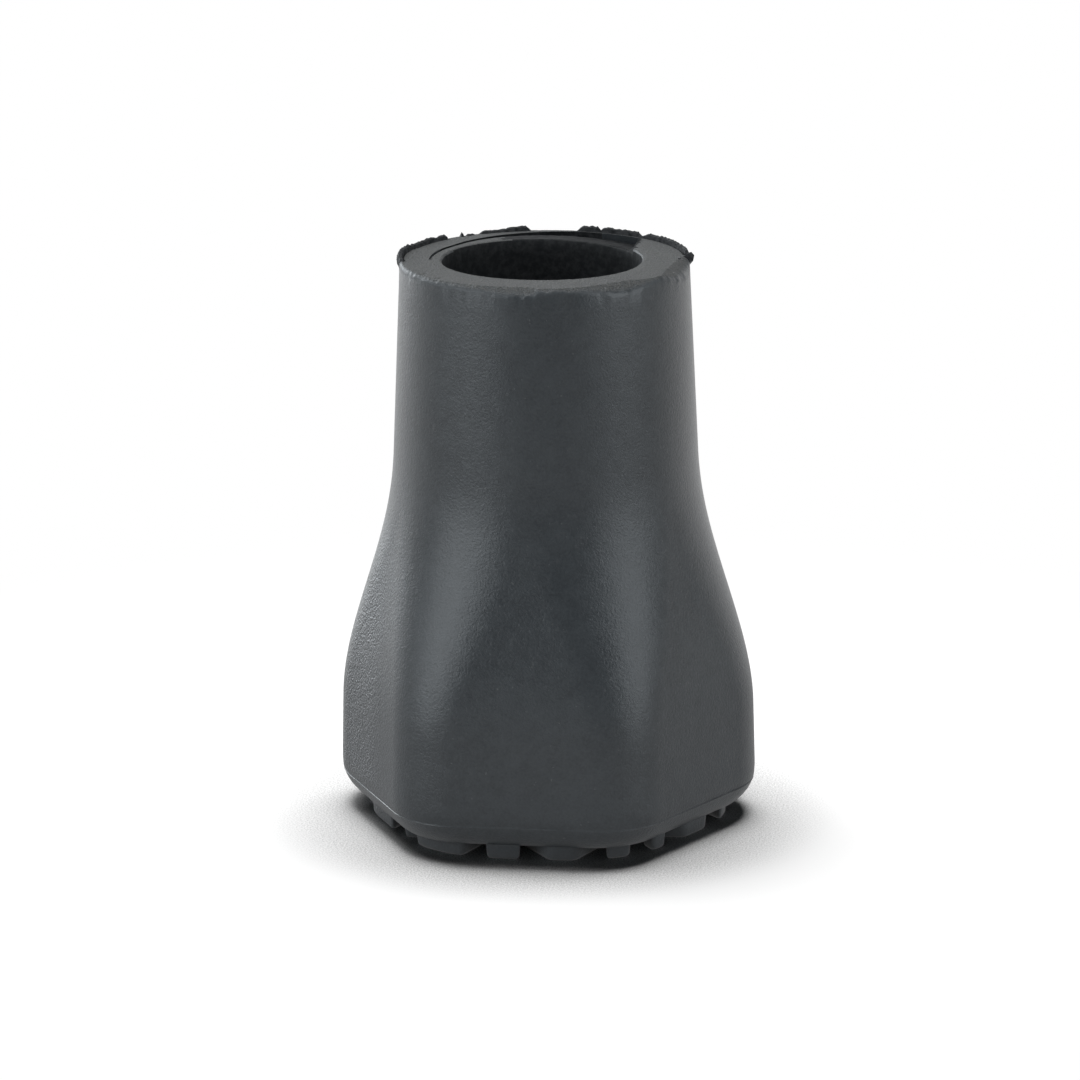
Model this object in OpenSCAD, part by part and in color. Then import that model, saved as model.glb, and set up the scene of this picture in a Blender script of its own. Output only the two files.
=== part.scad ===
// Rubber walking foot for a trekking pole.
// One moulding: a round neck with a blind socket for the pole's ferrule, an
// S-shaped flare that turns the round neck into a rounded hexagon, a chamfered
// sole and a tread cut into lugs by three sets of straight grooves.
// Millimetres, +Z up, origin on the ground at the centre of the sole.
// A flat of the hexagon faces -Y.

/* [Foot] */
// Height of the rim above the ground, without the moulding flash
full_h = 42; // [36:0.5:60]
// Width of the base across its flats, at the sole chamfer
base_flats = 28.6; // [25:0.1:40]
// Radius that rounds the six upright corners of the base
corner_r = 5.8; // [2:0.1:9]
// Draft of the base walls, the inward lean in degrees
base_draft = 1.5; // [0:0.1:4]

/* [Neck] */
// Outside diameter at the rim
rim_d = 21.2; // [18:0.1:24]
// Draft of the neck wall, the outward lean toward the base in degrees
neck_draft = 2.6; // [0:0.1:5]
// Height at which the neck starts to flare
flare_top = 27.8; // [20:0.1:32]
// Height at which the flare has reached the base wall
flare_foot = 8.6; // [5:0.1:14]
// How far the flare hangs toward the foot: 1 is an even S
flare_lag = 1.12; // [0.8:0.01:1.6]

/* [Socket] */
// Diameter of the open mouth of the socket
mouth_d = 14.7; // [13:0.1:16]
// Depth of the straight mouth below the rim
mouth_depth = 4; // [1:0.5:8]
// How far the mouth is off the centre of the neck
mouth_off = 0.2; // [0:0.05:0.5]
// Length of the tapered lead from the mouth down to the ferrule bore
lead_h = 2; // [1:0.1:5]
// Diameter of the bore that grips the pole's ferrule
bore_d = 12; // [9:0.1:12.6]
// Thickness of solid rubber between the ground and the socket's floor
floor_t = 11; // [6:0.5:18]
// Radius of the bore's bottom corner
floor_r = 1.5; // [0.5:0.1:4]

/* [Sole] */
// Height of the chamfer round the sole
chamfer_h = 1.6; // [0.5:0.1:3]
// How far the chamfer goes in under the wall
chamfer_in = 1.2; // [0.3:0.1:2]
// Height of the tread lugs
lug_h = 1.15; // [0.6:0.05:2.5]
// Ledge between the edge of the sole and the lugs
lug_ledge = 0.3; // [0.1:0.05:1]
// Draft of the lugs' faces in degrees
lug_draft = 8; // [2:1:12]
// Width of the tread grooves at the sole
groove_w = 1.4; // [0.6:0.1:2]
// Pitch of the parallel grooves in each of the three sets
groove_pitch = 7.7; // [5:0.1:11]
// Turn of the tread pattern against the hexagon in degrees
groove_turn = 6.6; // [-15:0.2:15]

/* [Rim] */
// Height of the torn flash that stands on the rim
flash_h = 0.45; // [0.2:0.05:1]
// Thickness of the flash
flash_t = 0.4; // [0.2:0.05:0.8]
// Width of the chip torn out of the rim's outer edge
chip_w = 5; // [2:0.1:8]
// How far the chip reaches in across the rim's face
chip_in = 1; // [0.4:0.1:1.6]
// Drop from the rim's face to the bed where its skin has split away
split_depth = 0.55; // [0.2:0.05:1]

/* [Hidden] */

around = 72;            // points in each ring of the skin, 12 a side
flare_rings = 20;       // rings up the flare
sides = 6;
side_a = 360 / sides;
rim_r = rim_d / 2;
half_w = base_flats / 2;
mouth_r = mouth_d / 2;
bore_r = bore_d / 2;
wall_foot = lug_h + chamfer_h;
groove_sets = [[0, 0.93], [60, 1.68], [-60, -0.64]];  // turn and first groove of each
lug_round = 0.7;        // roundness of the tread's outline, 1 is a circle
lug_sink = 0.4;         // how far the lugs run up into the sole
lug_least = 0.7;        // shortest edge that a lug keeps
lug_area = 1.5;         // smallest lug, smaller ones are left out
flash_arcs = [[-131, -79], [-166, -143], [-217, -185], [-263, -217]];
chip_a = 80;            // where the chip lies, from -Y toward +X
split_r = 9.1;          // edge of the split skin
split_c = [1.1, 0.9];   // centre of that edge
split_side = 6;         // X at which the split ends in a square step
split_start = -6.5;     // X at which it starts as a hairline

// 0 to 1 with level ends
function ease(t) = let (u = max(0, min(1, t))) u * u * (3 - 2 * u);

// 0 above the flare, 1 below it
function spread(z) =
    ease(pow(max(0, min(1, (flare_top - z) / (flare_top - flare_foot))), flare_lag));

// Corner reach of a hexagon of apothem a whose corners have radius k * a
function reach(a, k) = a * ((1 - k) / cos(side_a / 2) + k);

// Radius at angle p of that hexagon, a circle when k is 1
function hex_r(p, a, k) =
    let (
        q = abs(p - side_a * round(p / side_a)),
        edge = a * (1 - k) * tan(side_a / 2),
        along = a * tan(q),
        b = a * (1 - k) * (cos(q) + tan(side_a / 2) * sin(q)),
        c = pow(a * (1 - k) / cos(side_a / 2), 2) - pow(a * k, 2)
    )
    along <= edge ? a / cos(q) : b + sqrt(max(0, b * b - c));

// Corner reach of the wall at height z
function wall_reach(z) =
    let (
        k0 = corner_r / half_w,
        neck = rim_r + (full_h - z) * tan(neck_draft),
        base = reach(half_w, k0) - (z - wall_foot) * tan(base_draft)
    )
    neck + (base - neck) * spread(z);

function wall_k(z) = 1 - (1 - corner_r / half_w) * spread(z);
function wall_a(z) = wall_reach(z) / reach(1, wall_k(z));

// One ring of points, angles from -Y toward +X
function ring(a, k, z) =
    [for (i = [0 : around - 1])
        let (p = 360 * i / around, r = hex_r(p, a, k))
        [r * sin(p), -r * cos(p), z]];

// Skin through a stack of rings, bottom ring first, each end closed about its centre
module loft(stack) {
    n = len(stack[0]);
    m = len(stack);
    polyhedron(
        points = [
            for (s = stack) each s,
            [0, 0, stack[0][0][2]],
            [0, 0, stack[m - 1][0][2]]
        ],
        faces = [
            for (i = [0 : n - 1]) [m * n, i, (i + 1) % n],
            for (j = [0 : m - 2]) for (i = [0 : n - 1]) each [
                [j * n + i, (j + 1) * n + i, (j + 1) * n + (i + 1) % n],
                [j * n + i, (j + 1) * n + (i + 1) % n, j * n + (i + 1) % n]
            ],
            for (i = [0 : n - 1])
                [m * n + 1, (m - 1) * n + (i + 1) % n, (m - 1) * n + i]
        ],
        convexity = 6
    );
}

// Height of the torn flash at angle p: ragged inside its arcs, nil outside
function flash(p) =
    let (
        w = max([for (s = flash_arcs) for (t = [p, p - 360])
            max(0, min(1, (t - s[0]) / 3, (s[1] - t) / 3))]),
        rag = 0.8 + 0.2 * sin(7 * p) * sin(11 * p + 40)
    )
    flash_h * w * rag;

// A ring of the rim: radius r, raised by share h of the flash
function rim_ring(r, h) =
    [for (i = [0 : around - 1])
        let (p = 360 * i / around)
        [r * sin(p), -r * cos(p), full_h + h * flash(p)]];

// Wall from the sole's edge to the rim, flash included
module shell_form() {
    sole_a = half_w - chamfer_in;
    k0 = corner_r / half_w;
    flare_h = flare_top - flare_foot;
    heights = [
        wall_foot,
        for (i = [0 : flare_rings]) flare_foot + flare_h * i / flare_rings,
        full_h - flash_t
    ];
    difference() {
        loft([
            ring(sole_a, k0, 0),
            ring(sole_a, k0, lug_h),
            for (z = heights) ring(wall_a(z), wall_k(z), z),
            rim_ring(rim_r, 1),
            rim_ring(rim_r - 0.6 * flash_t, 0.9),
            rim_ring(rim_r - flash_t, 0)
        ]);
        translate([-base_flats, -base_flats, -base_flats])
            cube([2 * base_flats, 2 * base_flats, base_flats + lug_h]);
    }
}

function toward(p) = [sin(p), -cos(p)];
function turned(v) = [-v[1], v[0]];
function unit(v) = v / norm(v);

// Convex outline cut back to the side where n * p is at most d
function clip(outline, n, d) =
    let (m = len(outline))
    [for (i = [0 : 1 : m - 1])
        let (
            a = outline[i],
            b = outline[(i + 1) % m],
            da = n * a - d,
            db = n * b - d
        )
        each [if (da <= 0) a, if (da * db < 0) a + (b - a) * da / (da - db)]];

// The same outline between two parallel lines
function strip(outline, n, lo, hi) = clip(clip(outline, n, hi), -n, -lo);

// Outline without its shortest edges
function tidy(outline) =
    let (m = len(outline))
    [for (i = [0 : 1 : m - 1])
        if (norm(outline[(i + 1) % m] - outline[i]) > lug_least) outline[i]];

function area(outline) =
    let (m = len(outline))
    m < 3 ? 0 : 0.5 * [for (i = [0 : m - 1])
        cross(outline[i], outline[(i + 1) % m])] * [for (i = [0 : m - 1]) 1];

// Outline of a convex lug drawn in by t on every side
function inset(outline, t) =
    let (m = len(outline))
    [for (i = [0 : m - 1])
        let (
            a = turned(unit(outline[i] - outline[(i + m - 1) % m])),
            b = turned(unit(outline[(i + 1) % m] - outline[i]))
        )
        outline[i] + t * (a + b) / (1 + a * b)];

// One lug: its outline at the sole, drawn in toward the ground
module lug(outline) {
    m = len(outline);
    slope = tan(lug_draft);
    low = inset(outline, lug_h * slope);
    high = inset(outline, -lug_sink * slope);
    polyhedron(
        points = [
            for (p = low) [p[0], p[1], 0],
            for (p = high) [p[0], p[1], lug_h + lug_sink]
        ],
        faces = [
            [for (i = [0 : m - 1]) i],
            for (i = [0 : m - 1]) [i, m + i, m + (i + 1) % m, (i + 1) % m],
            [for (i = [m - 1 : -1 : 0]) m + i]
        ]
    );
}

// Lugs left standing between three sets of straight grooves
module tread() {
    lug_a = half_w - chamfer_in - lug_ledge;
    whole = [
        for (p = [0 : 360 / around : 359])
            if (abs(p % side_a - side_a / 2) <= side_a / 3)
                hex_r(p, lug_a, lug_round) * toward(p)
    ];
    n = [for (g = groove_sets) toward(groove_turn + g[0])];
    lo = [for (g = groove_sets) g[1] + groove_w / 2];
    hi = [for (g = groove_sets) g[1] + groove_pitch - groove_w / 2];
    last = ceil(half_w / groove_pitch) + 1;
    at = groove_pitch * [for (i = [-last : last]) i];
    for (i = at)
        let (one = strip(whole, n[0], lo[0] + i, hi[0] + i))
            for (j = at)
                let (two = strip(one, n[1], lo[1] + j, hi[1] + j))
                    for (k = at)
                        let (three = tidy(strip(two, n[2], lo[2] + k, hi[2] + k)))
                            if (area(three) > lug_area)
                                lug(three);
}

// Room for the ferrule: mouth, lead and grip bore
module socket() {
    lead_z = full_h - mouth_depth;
    grip_z = lead_z - lead_h;
    rotate_extrude($fn = 96)
        polygon([
            [0, floor_t],
            [bore_r - floor_r, floor_t],
            [bore_r, floor_t + floor_r],
            [bore_r, grip_z],
            [mouth_r - mouth_off, lead_z],
            [0, lead_z]
        ]);
    translate([0, 0, grip_z])
        cylinder(h = lead_h + 0.5, r = bore_r, $fn = 96);
    translate([-mouth_off, 0, lead_z - 0.01])
        cylinder(h = mouth_depth + 3, r = mouth_r, $fn = 96);
}

// Bed where the skin of the rim has split off behind the mouth
module split_bed() {
    tilt = atan(split_depth / (split_side - split_start));
    intersection() {
        translate([split_c[0], split_c[1], full_h])
            rotate([0, tilt, 0])
                translate([0, 0, (split_start - split_c[0]) * sin(tilt)])
                    cylinder(h = 4, r = split_r, $fn = 96);
        translate([-split_r, 0, full_h - 2])
            cube([split_r + split_side, 2 * split_r, 4]);
    }
}

// Chip torn from the rim's outer edge
module chip() {
    rotate([0, 0, chip_a - 90])
        translate([rim_r - chip_in, -chip_w / 2, full_h])
            rotate([0, 35, 0])
                cube([4, chip_w, 2]);
}

module rubber_tip() {
    color([0.22, 0.24, 0.25])
        difference() {
            union() {
                shell_form();
                tread();
            }
            socket();
            split_bed();
            chip();
        }
}

rubber_tip();
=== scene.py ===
# %% [markdown]
# # A rubber tip for a trekking pole
# A trekking pole ends in a hard metal point. On rock and tarmac a walker pushes a rubber tip over
# it: one moulding, with a round neck that grips the pole, a flare that turns the neck into a
# six-sided foot, and a tread of small lugs under the sole.
# This lesson dresses the measured model of that tip. The measured model gives the true sizes, and
# everything that is made here has to fit inside it, so it is loaded first.

# %% Load the measured frame
import math

import bmesh
import bpy
from mathutils import Matrix, Vector, noise


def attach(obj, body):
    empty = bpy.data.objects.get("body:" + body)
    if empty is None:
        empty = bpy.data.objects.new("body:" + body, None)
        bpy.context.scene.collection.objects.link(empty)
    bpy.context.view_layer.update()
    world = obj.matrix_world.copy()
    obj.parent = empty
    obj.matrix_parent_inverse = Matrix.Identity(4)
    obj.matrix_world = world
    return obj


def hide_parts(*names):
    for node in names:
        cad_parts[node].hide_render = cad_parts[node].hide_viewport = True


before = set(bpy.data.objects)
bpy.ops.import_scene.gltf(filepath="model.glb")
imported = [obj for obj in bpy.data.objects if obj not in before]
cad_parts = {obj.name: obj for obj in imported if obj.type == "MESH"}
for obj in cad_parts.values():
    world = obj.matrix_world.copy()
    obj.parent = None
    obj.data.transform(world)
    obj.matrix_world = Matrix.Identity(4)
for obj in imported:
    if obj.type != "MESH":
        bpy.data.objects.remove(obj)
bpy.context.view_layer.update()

# %% [markdown]
# ## Sizes
# A mould maker draws in millimetres, and Blender measures in metres. Every size below is written
# as on the drawing, and one factor turns it into metres when a point is placed. The main numbers
# are those of the measured model. Fine ones are set for the looks and differ a little from it: how
# far the mouth lies behind the axis, the ledge round the tread, the flash and the split.

# %% Sizes of the moulding
MM = 0.001

FULL_H = 42.0          # ground to the face of the rim
HALF_FLATS = 14.3      # centre to a flat of the six-sided foot
CORNER_R = 5.8         # radius of the foot's upright corners
BASE_DRAFT = 1.5       # lean of the foot's walls, degrees
RIM_R = 10.6
NECK_DRAFT = 2.6       # lean of the neck's wall, degrees
FLARE_TOP, FLARE_FOOT, FLARE_LAG = 27.8, 8.6, 1.12
CHAMFER_H, CHAMFER_IN = 1.6, 1.2
LUG_H = 1.15
WALL_FOOT = LUG_H + CHAMFER_H

MOUTH_R, MOUTH_X, MOUTH_Y = 7.35, -0.2, 0.12
MOUTH_DEPTH, LEAD_H, BORE_R = 4.0, 2.0, 6.0
FLOOR_T, FLOOR_R = 11.0, 1.5

STEPS = 480            # points round the skin, eight for every six degrees
SIDE = 60.0            # degrees that one side of the foot takes
print("a point every", round(2 * math.pi * RIM_R / STEPS, 3), "mm round the rim")

# %% [markdown]
# ## The cross-section
# Cut the tip level anywhere and the outline is a hexagon with rounded corners. At the foot the
# corners are tight, and up in the neck they are so round that the hexagon is a circle. One formula
# covers both, with a roundness from 0, sharp, to 1, a circle. The alternative is a hexagon and a
# circle joined by a bridge, which shows a seam where the two meet, so the formula is better here.
# Angles start at the front flat, which faces -Y, and grow toward +X.

# %% Radius of a rounded hexagon
HALF_SIDE = math.radians(SIDE / 2)


def corner_reach(apothem, roundness):
    """Centre to corner."""
    return apothem * ((1 - roundness) / math.cos(HALF_SIDE) + roundness)


def hexagon_radius(angle, apothem, roundness):
    """Centre to outline at an angle in degrees."""
    q = math.radians(abs(angle - SIDE * round(angle / SIDE)))
    straight = apothem * (1 - roundness) * math.tan(HALF_SIDE)
    if apothem * math.tan(q) <= straight:
        return apothem / math.cos(q)
    b = apothem * (1 - roundness) * (math.cos(q) + math.tan(HALF_SIDE) * math.sin(q))
    c = (apothem * (1 - roundness) / math.cos(HALF_SIDE)) ** 2 - (apothem * roundness) ** 2
    return b + math.sqrt(max(0.0, b * b - c))


def ease(t):
    """0 to 1 with a level start and a level end."""
    t = max(0.0, min(1.0, t))
    return t * t * (3 - 2 * t)


print("corner reach of the foot:", round(corner_reach(HALF_FLATS, CORNER_R / HALF_FLATS), 2), "mm")

# %% [markdown]
# ## The wall
# From the side the wall is an S: a neck that widens slowly, a flare, and a foot that is nearly
# upright. Both ends are straight lines with a little draft, which lets the moulding leave its
# tool, and an eased blend leads from one line to the other. The roundness of the cross-section
# follows the same blend, so the six corners grow out of the neck together with the flare.

# %% The wall's reach and roundness at each height
def spread(z):
    """0 in the neck, 1 in the foot."""
    t = max(0.0, min(1.0, (FLARE_TOP - z) / (FLARE_TOP - FLARE_FOOT)))
    return ease(t ** FLARE_LAG)


def wall_section(z):
    """Apothem and roundness of the wall at height z."""
    foot_round = CORNER_R / HALF_FLATS
    neck = RIM_R + (FULL_H - z) * math.tan(math.radians(NECK_DRAFT))
    foot = corner_reach(HALF_FLATS, foot_round)
    foot -= (z - WALL_FOOT) * math.tan(math.radians(BASE_DRAFT))
    reach = neck + (foot - neck) * spread(z)
    roundness = 1 - (1 - foot_round) * spread(z)
    return reach / corner_reach(1, roundness), roundness


for z in (40, 30, 20, 10, 4):
    apothem, roundness = wall_section(z)
    print(f"z {z}: apothem {apothem:.2f} mm, roundness {roundness:.2f}")

# %% [markdown]
# ## The torn rim
# This tip came out of a worn mould. Rubber crept into the joint of the tool and left a thin flash
# on the rim, most of which was torn off. What stays is a ragged lip at the back and the sides,
# small bites where the tear ran into the face, one larger chip, and a skin that has split open
# behind the mouth. Each is given by where it lies, how far it goes and how quickly it ends, and a
# little noise roughens it. Sculpting it by hand would look as good but couldn't be repeated.
# First come the helpers that all of them share.

# %% Noise and stops round the rim
def arc(angle, start, end, rise=2.0, fall=2.0):
    """1 between two angles, running out over rise and fall degrees inside the ends."""
    t = (angle - start) % 360
    span = (end - start) % 360
    if t >= span:
        return 0.0
    return min(1.0, t / rise, (span - t) / fall)


def rag(angle, grain, seed=0.0):
    """Noise from -1 to 1 round the rim, grain degrees to a tooth."""
    a = math.radians(angle)
    k = math.degrees(1) / grain
    return noise.noise(Vector((k * math.cos(a), k * math.sin(a), seed)))


def crumble(angle, r, z, size):
    """Noise from -1 to 1 at a point, with lumps of one size in every direction."""
    a = math.radians(angle)
    return noise.noise(Vector((r * math.sin(a), -r * math.cos(a), z)) / size)


def along(angle, stops):
    """Straight lines through (angle, value) stops."""
    for (a, u), (b, v) in zip(stops, stops[1:]):
        if a <= angle < b:
            return u + (v - u) * (angle - a) / (b - a)
    return 0.0


def circle_reach(angle, x, y, r):
    """Distance from the tip's axis to a circle that is off the axis."""
    a = math.radians(angle)
    lean = x * math.sin(a) - y * math.cos(a)
    return lean + math.sqrt(r * r - x * x - y * y + lean * lean)


print("noise at the front, 2 degrees to a tooth:", round(rag(0, 2.0), 2))

# %% [markdown]
# ## The flash
# Flash is the thin skin of rubber that is squeezed into the joint of a mould. Torn off by hand it
# leaves tabs: some end square, some slope away, and one is a mere spike. Each tab is one row of a
# small list, and where two overlap the taller one wins.

# %% Tabs of flash
# Start, end, rise and fall in degrees, height, and how far the tab hangs out
LIPS = [
    (232.0, 282.0, 0.8, 12.0, 0.30, 0.10),    # rolled lip on the left, square at its back end
    (250.0, 284.0, 9.0, 14.0, 0.40, 0.34),    # the same lip where it hangs over the neck
    (223.4, 225.4, 0.8, 1.0, 0.26, 0.02),     # one upright spike
    (217.5, 223.0, 1.5, 1.5, 0.10, 0.02),     # low stub in front of it
    (193.5, 217.0, 2.6, 3.2, 0.17, 0.05),     # foot of the long tab
    (193.5, 214.5, 2.4, 18.0, 0.38, 0.06),    # the long tab, tall at its slanted end
    (163.9, 174.6, 1.6, 2.6, 0.38, 0.05),     # short dark tab
    (143.0, 165.0, 3.0, 2.0, 0.34, 0.08),     # rough low edge
    (102.0, 145.0, 4.0, 5.0, 0.36, 0.12),     # ragged collar on the right
    (100.5, 104.5, 1.6, 2.2, 0.30, 0.42),     # the spike that it ends in
]
FLASH_TOP = 0.43       # the tallest that the flash may stand
FULL_LIP = 0.12        # a tab this tall counts as a whole one


def lip_at(angle):
    """Height of the flash, how far it hangs out, and how much of a lip there is."""
    up = out = 0.0
    for start, end, rise, fall, height, hang in LIPS:
        share = arc(angle, start, end, rise, fall)
        up = max(up, height * share)
        out = max(out, hang * share)
    presence = min(1.0, up / FULL_LIP)
    up *= 1 + 0.30 * rag(angle, 1.4, 2.0) + 0.20 * rag(angle, 4.0, 5.0)
    out *= 1 + 0.5 * rag(angle, 2.0, 7.0)
    return min(up, FLASH_TOP), out, presence


for angle in (0, 130, 180, 240):
    print(angle, "flash", [round(v, 2) for v in lip_at(angle)])

# %% [markdown]
# ## Bites and pits
# Where the flash tore away it took a little of the rim along. The face is torn back by a few
# tenths of a millimetre, more at the large chip on the right, and small pits notch its edge.

# %% Bites and pits in the edge of the face
PLAIN_BITE, LEAST_BITE = 0.24, 0.05    # where nothing else is said, and at the very least
# How far the face is torn back from the neck's edge, as (angle, mm) stops
BITES = [
    (0, 0.66), (4.4, 0.60), (5.2, 0.26), (6.6, 0.16), (7.8, 0.34), (12, 0.18), (15, 0.22),
    (18, 0.28), (24, 0.34), (30, 0.60),
    (38, 0.84), (44, 0.86), (50, 0.48), (56, 0.28), (62, 0.22), (65, 0.46), (72, 0.86),
    (80, 1.05), (88, 1.05), (95, 0.82), (99, 0.55), (103, 0.32), (110, 0.24),
    (296, 0.14), (306, 0.13), (313, 0.22), (318, 0.28), (323, 0.24), (332, 0.32), (341, 0.36),
    (347, 0.52), (353, 0.62), (360, 0.70),
]


def bite_at(angle):
    depth = along(angle, BITES) or PLAIN_BITE
    return max(LEAST_BITE, depth + 0.09 * rag(angle, 2.6, 11.0) + 0.05 * rag(angle, 1.2, 13.0))


# Pits: angle, half width in degrees, depth
PITS = [(308, 1.6, 0.12), (312.5, 1.2, 0.09), (319, 2.0, 0.10), (47, 1.5, 0.12), (97, 2.0, 0.16)]


def pit_at(angle):
    return max(depth * ease(1 - abs((angle - at + 180) % 360 - 180) / half)
               for at, half, depth in PITS)


print("bites:", [round(bite_at(angle), 2) for angle in (0, 44, 84, 318)])

# %% [markdown]
# ## The split skin
# Behind the mouth the skin of the rim has let go and sunk. The edge of the split is a circle a
# little off the axis. It starts at the left as a hairline, gets deeper, and ends at a square step.

# %% Depth of the split
SPLIT_X, SPLIT_Y, SPLIT_R = 1.1, 0.9, 9.1      # middle and radius of its edge
SPLIT_START, SPLIT_END = -8.0, 6.0             # X of the hairline's start (-6.5 as measured), step
SPLIT_BEND, SPLIT_RUN = -6.0, 1.2              # left of this X it bends to the front, this far
HAIRLINE, SPLIT_DROP = 0.05, 0.52              # depth at the start, and what the end adds


def split_drop(angle, r):
    """How far the split skin has sunk at a point, 0 outside it."""
    a = math.radians(angle)
    x, y = r * math.sin(a), -r * math.cos(a)
    if x >= SPLIT_END or y < -SPLIT_RUN * ease((SPLIT_BEND - x) / 2.0):
        return 0.0
    share = max(0.0, min(1.0, (x - SPLIT_START) / (SPLIT_END - SPLIT_START)))
    return (HAIRLINE + SPLIT_DROP * share * share) * (1 + 0.10 * rag(angle, 3.0, 17.0))


print("split:", [round(split_drop(angle, SPLIT_R), 2) for angle in (150, 180, 220)])

# %% [markdown]
# ## One section through the skin
# The whole skin is drawn as one line from the middle of the sole, up the wall, over the rim and
# down the socket to the middle of its floor. A lathe would spin that line, but here it changes
# with the angle, so the line is worked out at each angle and has the same number of points every
# time. The crest of the flash then has the same number at every angle, and the rings that join
# equal points make a clean mesh. Just above the chamfer runs the joint of the mould, a groove as
# fine as a hair, which shows at the sides and all but vanishes in front.

# %% Sole and wall of the section
WALL_STEPS, WALL_TOP = 62, 40.2
CHAMFER_BULGE = 0.18
EDGE_IN, EDGE_TALL = 0.11, 1.3         # rounding of the edge between the wall and the chamfer
SEAM_DEEP, SEAM_FRONT = 0.06, 8        # depth of the seam line, and the angle at which it vanishes


def mix(a, b, t):
    return a + (b - a) * t


def sole_points(angle):
    foot_round = CORNER_R / HALF_FLATS
    edge = hexagon_radius(angle, HALF_FLATS - CHAMFER_IN, foot_round)
    top = hexagon_radius(angle, *wall_section(WALL_FOOT)) - 0.02 - EDGE_IN
    points = [(edge - 0.9, LUG_H), (edge - 0.12, LUG_H), (edge - 0.02, LUG_H + 0.05)]
    for t in (0.2, 0.4, 0.6, 0.8, 0.95):
        swell = CHAMFER_BULGE * math.sin(math.pi * t)
        points.append((mix(edge, top, t) + swell, mix(LUG_H, WALL_FOOT, t)))
    seam = SEAM_DEEP * math.sin(math.radians(angle - SEAM_FRONT)) ** 2
    seam *= 1 + 0.3 * rag(angle, 5.0, 61.0)
    return points + [(top + 0.015, WALL_FOOT), (top + 0.02 - seam, WALL_FOOT + 0.04),
                     (top + 0.02 - seam, WALL_FOOT + 0.12), (top + 0.01, WALL_FOOT + 0.17)]


def wall_points(angle):
    points = []
    for i in range(WALL_STEPS):
        z = mix(WALL_FOOT + 0.28, WALL_TOP, i / (WALL_STEPS - 1))
        inward = EDGE_IN * max(0.0, 1 - (z - WALL_FOOT) / EDGE_TALL) ** 2
        points.append((hexagon_radius(angle, *wall_section(z)) - inward, z))
    return points


print("points up sole and wall:", len(sole_points(0)) + len(wall_points(0)))

# %% [markdown]
# ## The rim in the section
# At each angle the rim is either torn or still has its flash, or lies between the two. Both are
# drawn with seven points, and the presence of a tab mixes one drawing into the other.

# %% Rim of the section
def rim_points(angle):
    up, out, lip = lip_at(angle)
    bite, pit = bite_at(angle), pit_at(angle)
    foot_z = FULL_H - 0.20 - 0.90 * bite
    foot_r = hexagon_radius(angle, *wall_section(foot_z))
    torn = [(foot_r, foot_z)]
    for t in (0.25, 0.5, 0.75, 0.96):
        r, z = mix(foot_r, RIM_R - bite, t ** 2.2), mix(foot_z, FULL_H, t)
        torn.append((r + 0.08 * min(1.0, bite / 0.5) * crumble(angle, r, z, 0.5), z))
    torn += [(RIM_R - bite, FULL_H - pit), (RIM_R - bite - 0.10, FULL_H - 0.7 * pit)]
    crest = RIM_R + 0.75 * out - 0.10
    standing = [
        (RIM_R + 0.03 + 0.10 * out, 41.34), (RIM_R + 0.80 * out, 41.58 + 0.1 * up),
        (RIM_R + out, FULL_H - 0.10 + 0.45 * up), (crest, FULL_H + up),
        (crest - 0.20, FULL_H + 0.75 * up), (crest - 0.28, FULL_H - 0.16 * lip),
        (crest - 0.40, FULL_H),
    ]
    return [(mix(a, c, lip), mix(b, d, lip)) for (a, b), (c, d) in zip(torn, standing)]


print("points over the rim:", len(rim_points(0)))

# %% [markdown]
# ## The face and the socket in the section
# The face runs in from the rim to the mouth, over the step of the split skin. The mouth isn't
# quite on the axis, and its edge is worn rounder in front. Below it the socket narrows to the
# bore that grips the pole, and ends on a floor with a rounded corner.

# %% Face and socket of the section
FACE_RINGS = 3
LIP_FRONT = 1.1        # how much rounder the mouth's edge is in front, where it rubs the pole


def face_points(angle, outer):
    mouth = circle_reach(angle, MOUTH_X, MOUTH_Y, MOUTH_R)
    split = min(circle_reach(angle, SPLIT_X, SPLIT_Y, SPLIT_R), outer - 0.12)
    split = max(split, mouth + 0.9)
    points = []
    for i in range(1, FACE_RINGS + 1):
        r = mix(outer, split + 0.04, i / (FACE_RINGS + 0.3))
        points.append((r, FULL_H + 0.022 * crumble(angle, r, 5.0, 0.7)))
    drop = split_drop(angle, split)
    cut = 1.0 if drop > 0 else 0.0
    wide = 0.05 + 0.30 * drop
    points += [(split + 0.02, FULL_H), (split + 0.02 + 0.25 * drop, FULL_H - cut * 0.16 - 0.8 * drop),
               (split - wide, FULL_H - cut * 0.10 - drop)]
    for t, low in ((0.16, 0.02), (0.34, 0.0), (0.50, 0.0), (0.62, 0.0), (0.70, 0.22), (0.76, 0.02)):
        r = mix(split - wide, mouth, t)
        drop = split_drop(angle, r)
        second = ease((r * math.sin(math.radians(angle)) - 2.5) / 2.5) if drop else 0.0
        grain = 0.015 * rag(angle, 2.0, 40 + 9 * t)
        points.append((r, FULL_H - drop - low * second + grain))
    softer = 1 + LIP_FRONT * ease(math.cos(math.radians(angle)) * 1.4)
    for away, low in ((0.17, 0.0), (0.06, 0.05), (0.0, 0.16)):
        drop = split_drop(angle, mouth + away)
        rough = 0.05 * crumble(angle, mouth, away, 0.6)
        points.append((mouth + away * softer + rough, FULL_H - 0.62 * drop - low * softer))
    return points


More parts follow.
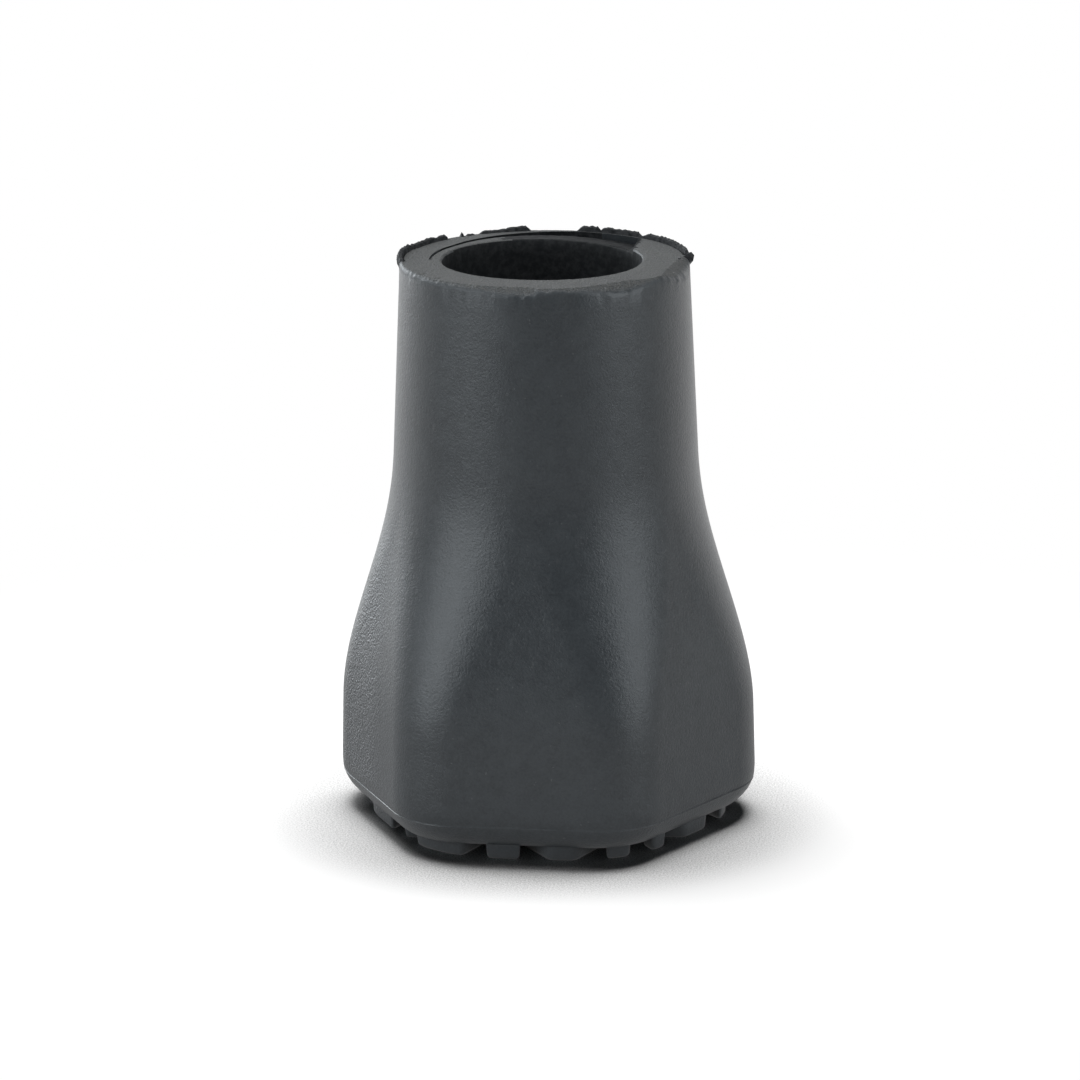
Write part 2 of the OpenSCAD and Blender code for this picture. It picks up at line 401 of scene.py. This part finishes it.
def socket_points(angle):
    mouth = circle_reach(angle, MOUTH_X, MOUTH_Y, MOUTH_R)
    lead = FULL_H - MOUTH_DEPTH
    grip = lead - LEAD_H
    points = [(mouth, mix(41.0, lead, i / 3)) for i in range(4)]
    points += [(BORE_R + 0.12, grip + 0.12), (BORE_R, grip - 0.15)]
    points += [(BORE_R, mix(grip, FLOOR_T + FLOOR_R, i / 6)) for i in range(1, 7)]
    for i in range(1, 5):
        t = math.radians(90 * i / 4)
        points.append((BORE_R - FLOOR_R * (1 - math.cos(t)), FLOOR_T + FLOOR_R * (1 - math.sin(t))))
    return points + [(2.0, FLOOR_T)]


def section(angle):
    points = sole_points(angle) + wall_points(angle)
    points += rim_points(angle)
    points += face_points(angle, points[-1][0])
    return points + socket_points(angle)


print("points in one section:", len(section(0)))

# %% [markdown]
# ## The skin
# The first ring is a circle primitive. Each next ring is extruded from the one before, the way an
# edge loop is pulled with E in the editor, and its points are put where the section says. A whole
# number kept on each point remembers its angle. At both ends the last ring is filled with a fan.

# %% Pull the skin ring by ring
def place(vert, angle, r, z):
    a = math.radians(angle)
    vert.co = Vector((r * math.sin(a), -r * math.cos(a), z)) * MM


def make_skin():
    bm = bmesh.new()
    column = bm.verts.layers.int.new("column")
    sections = [section(360 * i / STEPS) for i in range(STEPS)]
    made = bmesh.ops.create_circle(bm, segments=STEPS, radius=1, cap_ends=False)
    for i, v in enumerate(made["verts"]):
        v[column] = i
        place(v, 360 * i / STEPS, *sections[i][0])
    first = list(bm.edges)
    ring = first
    for level in range(1, len(sections[0])):
        pulled = bmesh.ops.extrude_edge_only(bm, edges=ring)["geom"]
        for v in pulled:
            if isinstance(v, bmesh.types.BMVert):
                place(v, 360 * v[column] / STEPS, *sections[v[column]][level])
        ring = [e for e in pulled if isinstance(e, bmesh.types.BMEdge)
                and all(f in pulled for f in e.verts)]
    for end_ring in (first, ring):
        cap = bmesh.ops.edgeloop_fill(bm, edges=end_ring)["faces"]
        bmesh.ops.poke(bm, faces=cap)
    bmesh.ops.recalc_face_normals(bm, faces=bm.faces)
    return bm


def to_object(bm, name, sharp=32.0):
    mesh = bpy.data.meshes.new(name)
    bm.to_mesh(mesh)
    bm.free()
    for polygon in mesh.polygons:
        polygon.use_smooth = True
    mesh.set_sharp_from_angle(angle=math.radians(sharp))
    obj = bpy.data.objects.new(name, mesh)
    bpy.context.scene.collection.objects.link(obj)
    return obj


foot_body = to_object(make_skin(), "foot_body")
print("skin:", len(foot_body.data.vertices), "points,", len(foot_body.data.polygons), "faces")

# %% [markdown]
# ## The tread
# The sole is cut by three sets of straight grooves, sixty degrees apart, which leave triangles and
# odd-shaped blocks between them. On the mould these are milled with one cutter, so here too a
# plane cuts the outline of the sole along both sides of every groove, the strips in the grooves
# are thrown away, and the islands that stay are pulled down into lugs. Each lug is pulled in
# short steps that get narrower, which gives it drafted walls and the round low edge of a ball
# cutter. A bevel would be less work, but it gives up on outlines with very short edges.

# %% Cut the tread
GROOVE_W, GROOVE_PITCH, GROOVE_TURN = 1.4, 7.7, 6.6
GROOVE_SETS = [(0, 0.93), (60, 1.68), (-60, -0.64)]   # turn of a set, place of one groove
LUG_LEDGE, LUG_ROUND = 0.12, 0.7       # step round the tread (0.3 as measured), its roundness
LUG_LEAST, LUG_SINK = 1.5, 0.3         # smallest area of a lug, and how deep it sits in the sole
MELT = 0.45                            # points of the outline closer than this become one
CORNER_SOFT = 0.45                     # rounding of a lug's upright corners
DRAFT_IN, EDGE_SOFT = 0.10, 0.28       # lean of a lug's wall in all, and radius of its low edge
CORNER_TURN = math.radians(25)         # a bend under this isn't a corner
TREAD_STEPS = 72


def direction(angle):
    a = math.radians(angle)
    return Vector((math.sin(a), -math.cos(a), 0))


def lug_profile():
    """Depth under the lug's root and how far its wall has come in, from top to bottom."""
    straight = LUG_H + LUG_SINK - EDGE_SOFT
    turns = [math.radians(90 * i / 4) for i in range(5)]
    return [(straight + EDGE_SOFT * math.sin(t), DRAFT_IN + EDGE_SOFT * (1 - math.cos(t)))
            for t in turns]


def pull_lug(bm, face):
    """Pull one islet of the sole down into a lug with a round low edge."""
    centre = face.calc_center_median_weighted()
    reach = math.sqrt(face.calc_area() / math.pi) / MM
    depth, width = 0.0, 1.0
    for down, inward in lug_profile():
        face = bmesh.ops.extrude_discrete_faces(bm, faces=[face])["faces"][0]
        narrower = 1 - inward / reach
        bmesh.ops.translate(bm, verts=face.verts, vec=(0, 0, (depth - down) * MM))
        bmesh.ops.scale(bm, verts=face.verts, vec=(narrower / width, narrower / width, 1),
                        space=Matrix.Translation(-centre))
        depth, width = down, narrower


def make_tread():
    bm = bmesh.new()
    outline = HALF_FLATS - CHAMFER_IN - LUG_LEDGE
    made = bmesh.ops.create_circle(bm, segments=TREAD_STEPS, radius=1, cap_ends=True)
    for i, v in enumerate(made["verts"]):
        angle = 360 * i / TREAD_STEPS
        place(v, angle, hexagon_radius(angle, outline, LUG_ROUND), LUG_H + LUG_SINK)
    flats = [v for i, v in enumerate(made["verts"])
             if abs((360 * i / TREAD_STEPS) % SIDE - SIDE / 2) > SIDE / 3]
    bmesh.ops.dissolve_verts(bm, verts=flats)
    cuts = [(direction(GROOVE_TURN + turn), first + n * GROOVE_PITCH)
            for turn, first in GROOVE_SETS for n in range(-3, 4)]
    for normal, at in cuts:
        for side in (-0.5, 0.5):
            bmesh.ops.bisect_plane(bm, geom=bm.verts[:] + bm.edges[:] + bm.faces[:], dist=1e-7,
                                   plane_co=normal * (at + side * GROOVE_W) * MM, plane_no=normal)
    in_groove = [f for f in bm.faces if any(
        abs(f.calc_center_median().dot(normal) / MM - at) < GROOVE_W / 2 for normal, at in cuts)]
    bmesh.ops.delete(bm, geom=in_groove, context="FACES")
    bmesh.ops.remove_doubles(bm, verts=bm.verts, dist=MELT * MM)
    crumbs = [f for f in bm.faces if f.calc_area() < LUG_LEAST * MM * MM]
    bmesh.ops.delete(bm, geom=crumbs, context="FACES")
    for islet in list(bm.faces):
        corners = [c.vert for c in islet.loops if math.pi - c.calc_angle() > CORNER_TURN]
        bmesh.ops.bevel(bm, geom=corners, offset=CORNER_SOFT * MM, segments=4,
                        affect="VERTICES", profile=0.5, material=-1, clamp_overlap=True)
    bmesh.ops.remove_doubles(bm, verts=bm.verts, dist=0.08 * MM)
    for f in bm.faces:
        f.normal_update()
        if f.normal.z > 0:
            f.normal_flip()
    lugs = list(bm.faces)
    for islet in lugs:
        pull_lug(bm, islet)
    open_edges = [e for e in bm.edges if e.is_boundary]
    bmesh.ops.holes_fill(bm, edges=open_edges, sides=0)
    bmesh.ops.remove_doubles(bm, verts=bm.verts, dist=0.002 * MM)
    for v in bm.verts:
        v.co.z = max(v.co.z, 0.0)      # no lug may sink into the ground
    bmesh.ops.recalc_face_normals(bm, faces=bm.faces)
    return bm, len(lugs)


tread, lug_count = make_tread()
tread_lugs = to_object(tread, "tread_lugs")
print("lugs:", lug_count, "faces:", len(tread_lugs.data.polygons))

# %% [markdown]
# ## Fastening the pieces
# Both meshes are one moulding on the real object. They ride on its only body and stand for its
# only measured node.

# %% Ride and replace
for piece in (foot_body, tread_lugs):
    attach(piece, "root")
    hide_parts("rubber_tip")

# %% [markdown]
# ## Writing shader maths as sums
# A material is a graph of nodes, and long sums drawn as nodes are hard to read. A small class
# wraps one output socket and answers to +, -, * and /, so that a mask can be written as a formula
# while Blender still gets its Math nodes.

# %% A socket that can be added and multiplied
class Value:
    """The output of a node, with sums that add Math nodes."""

    def __init__(self, paint, socket):
        self.paint, self.socket = paint, socket

    def _sum(self, operation, a, b):
        node = self.paint.node("ShaderNodeMath", {"operation": operation}, {0: a, 1: b})
        return Value(self.paint, node.outputs[0])

    def __add__(self, other):
        return self._sum("ADD", self, other)

    def __sub__(self, other):
        return self._sum("SUBTRACT", self, other)

    def __rsub__(self, other):
        return self._sum("SUBTRACT", other, self)

    def __mul__(self, other):
        return self._sum("MULTIPLY", self, other)

    def __truediv__(self, other):
        return self._sum("DIVIDE", self, other)

    def least(self, other):
        return self._sum("MINIMUM", self, other)

    def most(self, other):
        return self._sum("MAXIMUM", self, other)

    __radd__, __rmul__ = __add__, __mul__


print("sums ready")

# %% [markdown]
# ## Adding nodes
# Every other node is made by one method: it takes the node's type, then its settings, which can
# change its sockets, and then what goes into the sockets, either a number or a link.

# %% The nodes of one material or of the world
class Paint:
    """The nodes of one material or of the world."""

    def __init__(self, owner):
        self.owner = owner
        owner.use_nodes = True
        self.tree = owner.node_tree
        self.tree.nodes.clear()

    def node(self, kind, settings=None, sockets=None):
        made = self.tree.nodes.new(kind)
        for key, value in (settings or {}).items():
            setattr(made, key, value)
        for key, value in (sockets or {}).items():
            if isinstance(value, Value):
                value = value.socket
            if isinstance(value, bpy.types.NodeSocket):
                self.tree.links.new(value, made.inputs[key])
            else:
                made.inputs[key].default_value = value
        return made

    def value(self, kind, settings=None, sockets=None, out=0):
        return Value(self, self.node(kind, settings, sockets).outputs[out])

    def ramp(self, source, low, high):
        """0 below low, 1 above high, eased between."""
        node = self.node("ShaderNodeMapRange", {"interpolation_type": "SMOOTHSTEP"},
                         {"Value": source, "From Min": low, "From Max": high})
        return Value(self, node.outputs["Result"])

    def blend(self, factor, a, b):
        """Colour a where the factor is 0, colour b where it is 1."""
        node = self.node("ShaderNodeMix", {"data_type": "RGBA", "blend_type": "MIX"},
                         {"Factor": factor, 6: a, 7: b})
        return node.outputs[2]


def rgb(r, g, b):
    return (r, g, b, 1.0)


def grey(level):
    return rgb(level, level, level)


print("shader helper ready")

# %% [markdown]
# ## The rubber
# Carbon-black rubber is a very dark grey, a touch cooler than neutral, with a soft sheen. Close
# up it isn't even: the skin has a fine grain from the tool, cloudy patches where the release agent
# stayed, and pale specks of dust. The flanks that face the side boxes get paler specks, partly
# dust and partly a painted sheen, and the low flat on the left, which faces the brightest box, is
# scuffed rough and painted paler still as painted sheen. The torn rim has lost its skin and is a
# paler, drier grey.
# All patterns are read in the tip's own coordinates, so they stay on it from every side. The
# grain is mostly bump, since a sheen shows small slopes better than small changes of colour.

# %% Build the rubber material
BUMP_DEPTH, MATT_DEPTH = 0.04, 0.05    # height of the grain, mm
FOOT_TOP, NECK_LOW = 19.0, 27.0        # height where the foot's wear starts to fade, and is gone
# The low left flat is scuffed rough, and it is also painted paler there as painted sheen.
SCUFF_SHEEN_FULL, SCUFF_SHEEN_END = -12.6, -10.8   # X at which the scuffed flat is full, and ends
TREAD_WORN = (0.1, 1.0)                # heights between which the lugs' wear fades
RIM_LOW, RIM_TOP = 41.25, 41.75        # height at which the rim's finish begins and is full
BLACK, CHARCOAL = (0.019, 0.022, 0.025), (0.036, 0.041, 0.045)
# The second colour on the next line is pale dust, lightened into a painted sheen on the side-lit
# flanks.
SCUFFED, DUST_AND_SHEEN = (0.052, 0.054, 0.056), (0.058, 0.060, 0.064)
DRY, WORN, SPECKS = (0.060, 0.061, 0.059), (0.045, 0.047, 0.049), (0.30, 0.30, 0.29)


def make_rubber():
    p = Paint(bpy.data.materials.new("charcoal_rubber"))
    spot = p.node("ShaderNodeTexCoord").outputs["Object"]
    up_to = p.node("ShaderNodeSeparateXYZ", None, {0: spot})
    height = Value(p, up_to.outputs["Z"])
    facing = p.node("ShaderNodeSeparateXYZ", None,
                    {0: p.node("ShaderNodeNewGeometry").outputs["Normal"]})
    level = Value(p, facing.outputs["Z"])

    def cloud(size, detail, rough):
        """Noise with lumps of one size, in mm."""
        return p.value("ShaderNodeTexNoise", None,
                       {"Vector": spot, "Scale": 1000 / size, "Detail": detail,
                        "Roughness": rough})

    grain = cloud(0.19, 3.0, 0.65)
    dust = cloud(0.19, 2.0, 0.6)
    mottle = cloud(1.1, 5.0, 0.65)
    patch = cloud(7.0, 3.0, 0.5)
    speck = p.ramp(cloud(0.30, 1.0, 0.5), 0.755, 0.785)
    crumbs = p.ramp(cloud(0.22, 2.0, 0.6), 0.42, 0.62)
    scuff = p.ramp(cloud(0.55, 4.0, 0.7), 0.60, 0.74)

    low_part = 1 - p.ramp(height, FOOT_TOP * MM, NECK_LOW * MM)
    leftward = Value(p, up_to.outputs["X"])
    scuff_and_sheen_flat = (1 - p.ramp(leftward, SCUFF_SHEEN_FULL * MM, SCUFF_SHEEN_END * MM)) * low_part
    # Flanks that face the side boxes, and most of all the low left flat, are painted paler: part
    # dust, part painted sheen.
    aside = Value(p, facing.outputs["X"])
    flank = p.ramp(aside * aside, 0.62, 0.96)
    coarse = 0.85 + low_part * 0.35 + scuff_and_sheen_flat * 0.4
    dust_and_sheen = (flank * 0.22 + scuff_and_sheen_flat * 0.80).least(1.0)
    rim = p.ramp(height, RIM_LOW * MM, RIM_TOP * MM)
    torn = rim * p.ramp(level, 0.50, 0.85)
    worn = (1 - p.ramp(height, TREAD_WORN[0] * MM, TREAD_WORN[1] * MM)) * 0.4

    tone = 0.53 + mottle * 0.34 + patch * 0.22 + grain * 0.46
    colour = p.blend(p.ramp(tone, 0.80, 1.20), rgb(*BLACK), rgb(*CHARCOAL))
    colour = p.blend(scuff * 0.30, colour, rgb(*SCUFFED))
    # Painted sheen: paler specks on the side-lit flanks and on the left flat, partly real dust.
    colour = p.blend(dust_and_sheen * p.ramp(dust, 0.38, 0.72), colour, rgb(*DUST_AND_SHEEN))
    colour = p.blend(torn * (0.28 + mottle * 0.35 + crumbs * 0.45), colour, rgb(*DRY))
    colour = p.blend(worn, colour, rgb(*WORN))
    colour = p.blend(speck * (0.10 + torn * 0.3), colour, rgb(*SPECKS))

    roughness = 0.26 + patch * 0.08 + grain * 0.06 + torn * 0.22 + rim * 0.16
    bump = p.node("ShaderNodeBump", None,
                  {"Strength": 0.75, "Distance": BUMP_DEPTH * MM,
                   "Height": grain * coarse + dust * dust_and_sheen * 3.2 + mottle * 0.7 + scuff * 0.2
                   + torn * (grain * 1.6 + crumbs * 2.5)})
    surface = p.node("ShaderNodeBsdfPrincipled", None,
                     {"Base Color": colour, "Roughness": roughness,
                      "Normal": bump.outputs["Normal"]})
    p.node("ShaderNodeOutputMaterial", None, {"Surface": surface.outputs["BSDF"]})
    return p.owner


rubber = make_rubber()
for piece in (foot_body, tread_lugs):
    piece.data.materials.append(rubber)
print("rubber nodes:", len(rubber.node_tree.nodes))

# %% [markdown]
# ## Matt rubber with painted shade
# The core that forms the socket is taken out while the rubber is still hot, and leaves a matt skin
# there. A fresh tear is matt too. The socket, the sunken split and the thin flash are painted
# near black as painted shade, for the shade that falls in and on them. They are the same rubber,
# so this is a second finish on the same piece, given to the faces that lie in those places.

# %% Build the matt finish with its painted shade
# The first two colours are near-black painted shade for the socket, the split and the flash; the
# fresh tear stays paler.
SHADE_BLACK, SHADE_GREY, FRESH = (0.004, 0.005, 0.006), (0.016, 0.017, 0.018), (0.034, 0.035, 0.037)
TEAR_FROM, TEAR_FULL = 9.95, 10.2      # distance from the axis at which the fresh tear begins


def make_painted_shade_rubber():
    p = Paint(bpy.data.materials.new("matt_painted_shade_rubber"))
    spot = p.node("ShaderNodeTexCoord").outputs["Object"]
    lumps = p.value("ShaderNodeTexNoise", None,
                    {"Vector": spot, "Scale": 1000 / 0.5, "Detail": 4.0, "Roughness": 0.65})
    # Painted shade, mottled by the lumps.
    colour = p.blend(p.ramp(lumps, 0.35, 0.70), rgb(*SHADE_BLACK), rgb(*SHADE_GREY))
    level_spot = p.node("ShaderNodeVectorMath", {"operation": "MULTIPLY"},
                        {0: spot, 1: (1, 1, 0)}).outputs[0]
    away = p.value("ShaderNodeVectorMath", {"operation": "LENGTH"}, {0: level_spot}, out=1)
    fresh_tear = p.ramp(away, TEAR_FROM * MM, TEAR_FULL * MM) * p.ramp(lumps, 0.30, 0.62)
    colour = p.blend(fresh_tear * 0.8, colour, rgb(*FRESH))
    bump = p.node("ShaderNodeBump", None,
                  {"Strength": 0.5, "Distance": MATT_DEPTH * MM, "Height": lumps})
    surface = p.node("ShaderNodeBsdfPrincipled", None,
                     {"Base Color": colour, "Roughness": 0.75, "Specular IOR Level": 0.2,
                      "Normal": bump.outputs["Normal"]})
    p.node("ShaderNodeOutputMaterial", None, {"Surface": surface.outputs["BSDF"]})
    return p.owner


matt_painted_shade_rubber = make_painted_shade_rubber()
print("matt rubber nodes:", len(matt_painted_shade_rubber.node_tree.nodes))

# %% [markdown]
# ## Where the painted shade goes
# The skin is one mesh, so the matt finish with its painted shade is given face by face, by where
# the middle of a face lies.

# %% Give the shaded faces their matt finish and painted shade
SPLIT_OUT = 10.1       # the split skin reaches no further out than this


def is_painted_shade(x, y, z):
    """Whether a point of the skin, in mm, lies where shade is painted: socket, split or flash."""
    r = math.hypot(x, y)
    angle = math.degrees(math.atan2(x, -y)) % 360
    socket = r < MOUTH_R + 0.27 and z < FULL_H - 0.20
    split = y > 2.5 and z < FULL_H - 0.09 and MOUTH_R < r < SPLIT_OUT
    flash = r > RIM_R - 0.42 and z > 41.6 and lip_at(angle)[2] > 0.5
    return z > 10 and (socket or split or flash)


foot_body.data.materials.append(matt_painted_shade_rubber)
painted_shade_count = 0
for polygon in foot_body.data.polygons:
    if is_painted_shade(*(polygon.center / MM)):
        polygon.material_index = 1
        painted_shade_count += 1
print("matt faces:", painted_shade_count)

# %% [markdown]
# ## The studio
# Black rubber is lit from the sides: two tall soft boxes draw a light band down each flank, and
# nothing shines from the front, which leaves the middle dark and shows the corners. A soft box
# overhead lights the rim. The floor is a white sheet of paper. Close round the tip, where its
# shadow falls, dark speckles are painted into the paper as a painted shadow grain. The eye sees
# the sheet fade into pure white a few centimetres out. The rubber sees less of it, as it would
# with dark cards round a small sheet: most in front, where it lifts the front flat a little, less
# beside the tip, and nothing of it under the tip, where no light gets in.

# %% Floor
VIEW_AZ = 8.17         # the eye stands this far round from the front flat, degrees
FLOOR_REACH = 1.2      # half the width of the sheet
# Painted shadow: dark speckles of a second grey are painted into the sheet only close round the tip,
# where its shadow falls; the lines below set their size, threshold and reach.
FLOOR_WHITE, SHADOW_SPECKLE_GREY, FLOOR_BOUNCE = 0.70, 0.46, 0.20
SHADOW_SPECKLE_SIZE = 0.13                     # size of the paper's tooth, mm
SHADOW_SPECKLE_STEP = (0.40, 0.62)              # noise at which a hollow starts, and is full
SHADOW_SPECKLE_ENDS = (0.017, 0.023)            # metres out where the tooth starts to vanish, and is gone
FADE = (0.018, 0.080)                  # where the sheet starts to turn pure white, and is
UNDER_TIP = (0.009, 0.0160)            # nearer than this the sheet gives no light to the rubber
FLOOR_GLOW, SIDE_GLOW = 0.62, 0.38     # what the rubber sees of the sheet, before it and beside it
BEFORE = (0.45, 0.95)                  # cosine of the angle from the eye: beside the tip, before it
GLOW_RISE, GLOW_FALL = (0.022, 0.045), (0.075, 0.140)      # where that extra light comes and goes
GLOSS_RISE = (-0.03, 0.05)             # depth at which gloss starts to see the white sheet, and does


def make_floor():
    bm = bmesh.new()
    bmesh.ops.create_grid(bm, x_segments=1, y_segments=1, size=FLOOR_REACH)
    mesh = bpy.data.meshes.new("floor")
    bm.to_mesh(mesh)
    bm.free()
    obj = bpy.data.objects.new("floor", mesh)
    bpy.context.scene.collection.objects.link(obj)
    p = Paint(bpy.data.materials.new("white_sheet"))
    spot = p.node("ShaderNodeTexCoord").outputs["Object"]
    away = p.value("ShaderNodeVectorMath", {"operation": "LENGTH"}, {0: spot}, out=1)
    ray = p.node("ShaderNodeLightPath")
    camera_ray = Value(p, ray.outputs["Is Camera Ray"])
    depth = p.value("ShaderNodeVectorMath", {"operation": "DOT_PRODUCT"},
                    {0: spot, 1: -direction(VIEW_AZ)}, out=1)
    gloss = (Value(p, ray.outputs["Is Glossy Ray"])
             + Value(p, ray.outputs["Is Transmission Ray"])).least(1.0)
    seen = camera_ray.most(gloss * p.ramp(depth, *GLOSS_RISE))
    fade = p.ramp(away, *FADE)
    before = p.ramp((0 - depth) / away.most(0.001), *BEFORE) * p.ramp(away, *GLOW_RISE)
    before = before * (1 - p.ramp(away, *GLOW_FALL))
    bright = SIDE_GLOW + (FLOOR_GLOW - SIDE_GLOW) * before
    bright = bright * p.ramp(away, *UNDER_TIP)
    share = (seen * fade).most((1 - camera_ray) * bright)
    # Painted shadow speckle: darker spots in the paper, only near the tip.
    tooth = p.value("ShaderNodeTexNoise", None,
                    {"Vector": spot, "Scale": 1000 / SHADOW_SPECKLE_SIZE, "Detail": 2.0, "Roughness": 0.6})
    near = 1 - p.ramp(away, *SHADOW_SPECKLE_ENDS)
    shadow_speckles = near * p.ramp(tooth, *SHADOW_SPECKLE_STEP)
    white = p.blend(shadow_speckles, grey(FLOOR_WHITE), grey(SHADOW_SPECKLE_GREY))
    tone = p.blend(camera_ray, grey(FLOOR_BOUNCE), white)
    paper = p.node("ShaderNodeBsdfDiffuse", None, {"Color": tone})
    glow = p.node("ShaderNodeEmission", None, {"Color": grey(1.0), "Strength": 1.0})
    surface = p.node("ShaderNodeMixShader", None,
                     {0: share, 1: paper.outputs[0], 2: glow.outputs[0]})
    p.node("ShaderNodeOutputMaterial", None, {"Surface": surface.outputs[0]})
    mesh.materials.append(p.owner)
    return obj


floor = make_floor()
print("sheet:", 2 * FLOOR_REACH, "m across")

# %% [markdown]
# ## The room
# What lies behind the tip is plain white, both for the eye and for gloss: a mirror here would show
# a white room behind it. The side where the eye stands is kept dark, as black cards do in a real
# studio, or the front of the rubber would turn milky. Little light comes from the room itself, so
# that the soft boxes shape the tip.

# %% World
ROOM_LIGHT = 0.004
BEHIND = (0.0, 0.9)    # where the white of the room begins and where it is full, as a cosine


def make_world():
    world = bpy.data.worlds.new("studio")
    world.use_nodes = True
    p = Paint(world)
    view = p.node("ShaderNodeTexCoord").outputs["Generated"]
    front = direction(VIEW_AZ)
    depth = p.value("ShaderNodeVectorMath", {"operation": "DOT_PRODUCT"}, {0: view, 1: -front}, out=1)
    ray = p.node("ShaderNodeLightPath")
    gloss = (Value(p, ray.outputs["Is Glossy Ray"])
             + Value(p, ray.outputs["Is Transmission Ray"])).least(1.0)
    white_share = Value(p, ray.outputs["Is Camera Ray"]).most(gloss * p.ramp(depth, *BEHIND))
    dim = p.node("ShaderNodeBackground", None, {"Color": grey(ROOM_LIGHT)})
    white = p.node("ShaderNodeBackground", None, {"Color": grey(1.0)})
    room = p.node("ShaderNodeMixShader", None,
                  {0: white_share, 1: dim.outputs[0], 2: white.outputs[0]})
    p.node("ShaderNodeOutputWorld", None, {"Surface": room.outputs[0]})
    bpy.context.scene.world = world


make_world()
print("room:", bpy.context.scene.world.name)

# %% [markdown]
# ## The lamps
# Each lamp is a flat panel: its size sets how soft the edge of its reflection is, and its power
# how bright. The boxes at the sides are a little cool, as daylight is, which shows in the
# highlights of black rubber. The sheet has two lamps of its own, one from above and behind and one
# from the left, because the lamps of the tip come in low and would wash out the dark line where
# the tread meets the ground. A lamp lights only the pieces in the collection that it is given.

# %% Lamps
LAMP_FAR = 0.60        # every lamp stands this far from the tip
COOL, PLAIN = (0.94, 1.0, 1.04), (1.0, 1.0, 1.0)       # tints of the lamps


def group(name, members):
    """A collection that a lamp may be told to light, and nothing else."""
    made = bpy.data.collections.new(name)
    for member in members:
        made.objects.link(member)
    return made


def soft_box(name, azimuth, elevation, width, tall, watts, lights, tint=PLAIN):
    """A flat lamp that looks at the tip. Azimuth 0 is where the eye is, 90 is on the right."""
    lamp = bpy.data.lights.new(name, "AREA")
    lamp.shape = "RECTANGLE"
    lamp.size, lamp.size_y = width, tall
    lamp.energy = watts
    lamp.color = tint
    obj = bpy.data.objects.new(name, lamp)
    a, e = math.radians(VIEW_AZ + azimuth), math.radians(elevation)
    at = Vector((math.sin(a) * math.cos(e), -math.cos(a) * math.cos(e), math.sin(e))) * LAMP_FAR
    aim = Vector((0, 0, 0.02))
    obj.location = aim + at
    obj.rotation_euler = (-at).to_track_quat("-Z", "Y").to_euler()
    bpy.context.scene.collection.objects.link(obj)
    obj.light_linking.receiver_collection = lights
    return obj


the_tip = group("the_tip", [foot_body, tread_lugs])
the_sheet = group("the_sheet", [floor])
soft_box("left_box", -60, 18, 0.50, 0.50, 2.55, the_tip, COOL)
soft_box("back_left_box", -138, 18, 0.36, 0.50, 2.7, the_tip, COOL)
soft_box("right_box", 62, 18, 0.42, 0.50, 1.8, the_tip, COOL)
soft_box("top_box", 0, 80, 0.35, 0.35, 2.9, the_tip)
soft_box("sheet_key", 180, 80, 0.42, 0.15, 5.0, the_sheet)
soft_box("sheet_fill", -150, 68, 0.50, 0.50, 2.35, the_sheet)

# %% [markdown]
# ## The camera
# A long lens from a hand's breadth above the rim, as in a catalogue: the sides stay nearly
# parallel and the mouth shows as a flat oval.

# %% Camera
FOCAL, SENSOR = 157.9, 36.0
CAM_AT = Vector((47.77, -336.07, 113.46)) * MM
CAM_AIM = Vector((-0.48, -0.07, 20.68)) * MM
CAM_ROLL = -0.417      # degrees
camera_data = bpy.data.cameras.new("camera")
camera_data.sensor_width = SENSOR
camera_data.lens = FOCAL
camera_data.clip_start, camera_data.clip_end = 0.01, 10.0
camera = bpy.data.objects.new("camera", camera_data)
camera.location = CAM_AT
look = (CAM_AIM - CAM_AT).to_track_quat("-Z", "Y").to_matrix()
camera.rotation_euler = (look @ Matrix.Rotation(math.radians(CAM_ROLL), 3, "Z")).to_euler()
bpy.context.scene.collection.objects.link(camera)
bpy.context.scene.camera = camera
bpy.context.scene.view_settings.view_transform = "Standard"
print("camera:", round(CAM_AT.length / MM), "mm from the tip's foot")
